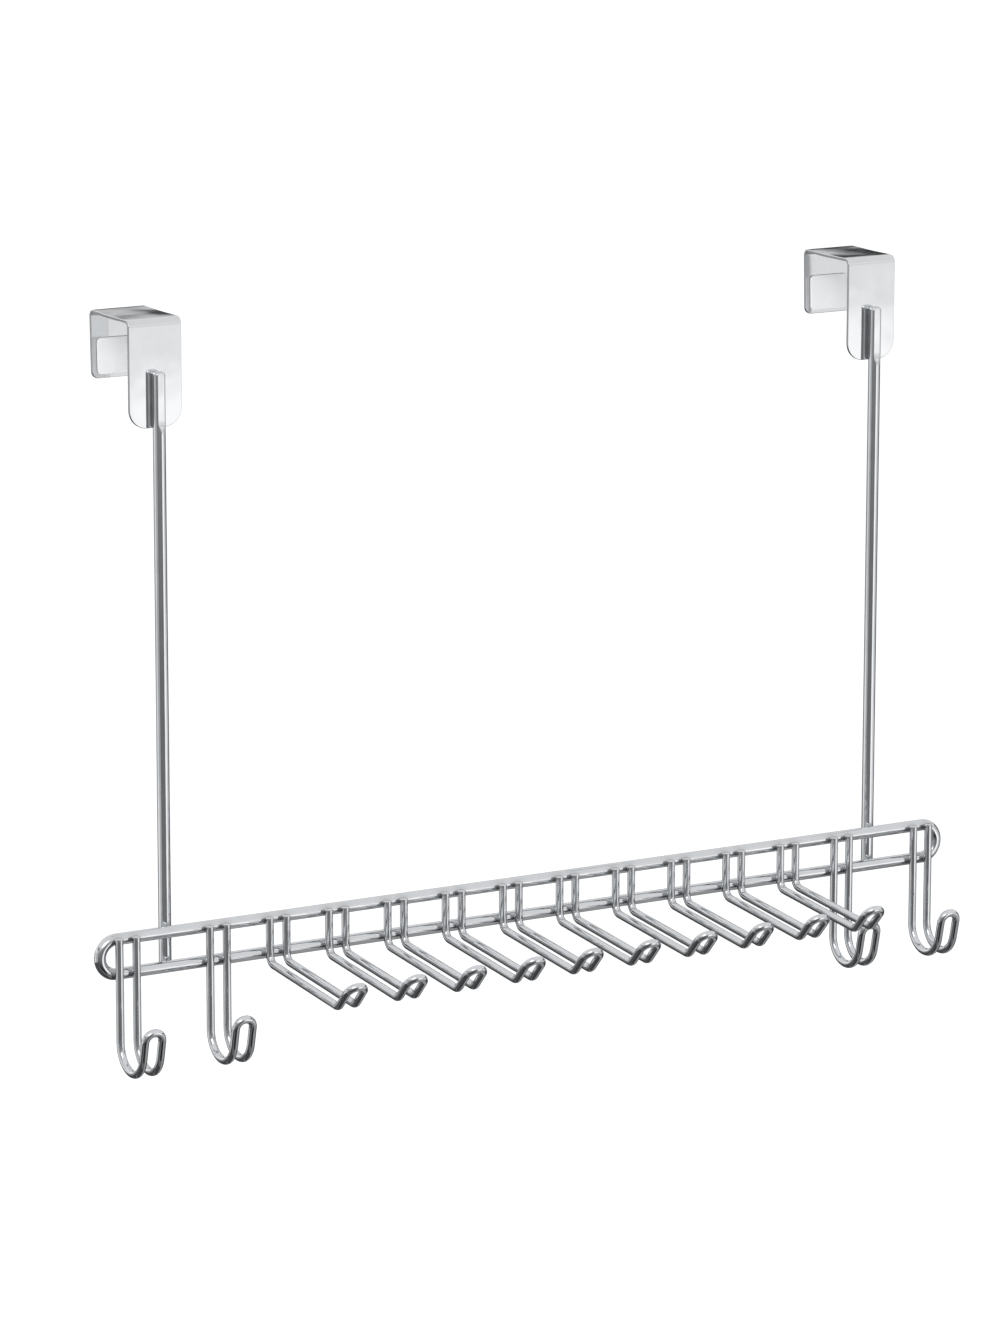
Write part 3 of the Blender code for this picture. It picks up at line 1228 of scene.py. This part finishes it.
@dataclass(frozen=True)
class SoftLamp:
    """A square lamp that faces the rack's middle from an offset.

    Its glow is how bright its face is, where the white background is 1. The face power is the
    watts a square metre that give a glow of 1.
    """

    name: str
    offset: tuple[float, float, float]
    side: float
    glow: float
    shows_in_chrome: bool = True
    face_power: float = 4.0

    def build(self, middle: Vector) -> None:
        """Hangs the lamp.

        Args:
            middle: the rack's middle.
        """
        data = bpy.data.lights.new(self.name, "AREA")
        data.shape = "SQUARE"
        data.size = self.side
        data.energy = self.glow * self.face_power * self.side ** 2
        lamp = bpy.data.objects.new(self.name, data)
        lamp.location = middle + Vector(self.offset)
        lamp.rotation_euler = (-Vector(self.offset)).to_track_quat("-Z", "Y").to_euler()
        lamp.visible_glossy = self.shows_in_chrome
        bpy.context.scene.collection.objects.link(lamp)


@dataclass
class Studio:
    """Pale floor, white surroundings, soft lamps, and glowing cards that paint the reflections
    chrome needs to show its form.

    Chrome has no colour of its own, so in an all-white room it would vanish.
    """

    light_colour: str = "f4f5f6"
    plain_light: float = 0.95
    floor: Floor = Floor()
    lamps: tuple[SoftLamp, ...] = (
        SoftLamp("key_lamp", (-1.4, -2.2, 1.9), 1.6, 1.26),
        SoftLamp("recess_lamp", (-1.35, -2.34, 0.45), 1.2, 2.2, shows_in_chrome=False),
    )
    # Every card glows though it is no lamp and is seen only in the chrome: painted reflections, dark
    # and pale.
    cards: tuple[Card, ...] = (
        Card("front_card", "272829", "a6a7a8", -150.5, 1.9, (-1.68, 1.68), (-1.6, 0.45)),
        Card("mid_left_card", "b2b3b4", "c0c1c2", -92.5, 2.3, (-0.68, 0.68), (-1.15, 0.38)),
        Card("left_card", "e6e7e8", "f6f7f8", -57.0, 2.2, (-0.76, 0.76), (-1.15, 0.38)),
        Card("upper_left_card", "c4c5c6", "868788", -80.0, 2.5, (-1.5, 1.5), (0.40, 1.15)),
        Card("back_card", "747576", "a8a9aa", -10.0, 2.6, (-1.38, 1.38), (-1.33, -0.31)),
        Card("horizon_card", "2a2b2c", "363738", 31.0, 4.0, (-2.2, 2.2), (0.04, 0.59)),
        Card("haze_card", "969798", "ecedee", 31.0, 4.0, (-2.2, 2.2), (0.59, 0.74)),
        Card("upper_haze_card", "e0e1e2", "838485", 31.0, 4.0, (-2.2, 2.2), (0.74, 0.96)),
        Card("back_right_card", "6e6f70", "d0d1d2", 43.0, 3.0, (-1.0, 1.0), (-1.7, -0.02)),
        Card("dark_right_card", "636465", "707172", 81.0, 2.4, (-0.83, 0.83), (-1.56, 0.43)),
        Card("pale_right_card", "d2d3d4", "dedfe0", 118.0, 2.4, (-0.78, 0.78), (-1.56, 0.43)),
        # These two cards glow brighter than the white background and light nothing: painted
        # highlights in the chrome.
        Card("painted_highlight_low_card", "ffffff", "ffffff", 180.0, 1.27, (-1.08, -0.42), (-0.95, -0.272),
             strength=1.30, unevenness=0.0),
        Card("painted_highlight_face_card", "fdfdfe", "d2d3d4", 150.5, 2.2, (-0.62, 0.62), (-0.62, 0.22),
             strength=1.12, unevenness=0.0),
    )
    # Level glowing sheets seen only in the chrome, not rugs or a ceiling: painted reflections, dark
    # ones below and a pale one above.
    sheets: tuple[Sheet, ...] = (
        Sheet("painted_reflection_below_grey", "a3a4a5", (-5.0, -5.0), (5.0, 5.0), -2.02),
        Sheet("painted_reflection_below_dark", "2c2d2e", (-4.5, -4.5), (0.35, -1.6), -2.00),
        Sheet("painted_reflection_below_mid", "6e6f70", (-4.5, -1.6), (0.35, -0.6), -2.00),
        Sheet("painted_reflection_below_slate", "454647", (-4.5, -0.6), (0.35, 0.9), -2.00),
        Sheet("painted_reflection_below_rear", "4e4f50", (-4.5, 1.0), (4.5, 4.5), -2.00),
        Sheet("painted_reflection_below_right", "4e4f50", (1.35, -0.5), (4.5, 1.0), -2.00),
        Sheet("painted_reflection_above_pale", "eeeff0", (-6.5, -6.5), (6.5, 6.5), 2.2),
    )

    def _world(self) -> None:
        """Sets plain light all round, shown as white."""
        world = bpy.data.worlds.new("white_studio")
        world.use_nodes = True
        tree = world.node_tree
        tree.nodes.clear()
        plain = add_node(tree, "Background", {
            "Color": self.light_colour, "Strength": self.plain_light,
        })
        white = add_node(tree, "Background", {"Color": WHITE})
        output = tree.nodes.new("ShaderNodeOutputWorld")
        tree.links.new(show_white(tree, plain, white), output.inputs["Surface"])
        bpy.context.scene.world = world

    def build(self, middle: Vector) -> None:
        """Sets up the whole studio.

        Args:
            middle: the rack's middle.
        """
        self._world()
        self.floor.build()
        for part in self.lamps + self.cards:
            part.build(middle)
        for sheet in self.sheets:
            sheet.build()


@dataclass
class HookRack:
    """The whole rack, put together from its sub-assemblies."""

    sizes: RackSizes
    hook_count: int = 4
    arm_count: int = 10

    def build(self, shop: Workshop) -> None:
        """Builds every sub-assembly in order.

        Args:
            shop: makes the pieces.
        """
        hooks = [CoatHook(self.sizes, f"coat_hook_{n + 1}") for n in range(self.hook_count)]
        arms = [HangerArm(self.sizes, f"hanger_arm_{n + 1:02d}") for n in range(self.arm_count)]
        welds = []
        for hairpin in hooks + arms:
            hairpin.build(shop)
            WeldBeads(f"welds_{hairpin.node}", hairpin.welds).build(shop)
            welds += hairpin.welds
        for side in Side:
            rod = HangerRod(self.sizes, side)
            rod.build(shop)
            DoorBracket(self.sizes, side).build(shop, rod.lap_welds)
            for leg in Leg:
                FoamPad(self.sizes, side, leg).build(shop)
            welds += rod.rail_welds
        RailLoop(self.sizes).build(shop, welds)


def main() -> None:
    """Builds the rack and its studio."""
    logging.basicConfig(level=logging.INFO, format="%(name)s: %(message)s")
    HookRack(RackSizes()).build(Workshop())
    middle = (Vector(CAD_BOX[0]) + Vector(CAD_BOX[1])) / 2
    Studio().build(middle)
    PhotoView().build(node_centre("rail_loop"))
    bpy.context.scene.view_settings.view_transform = "Standard"


if __name__ == "__main__":
    main()
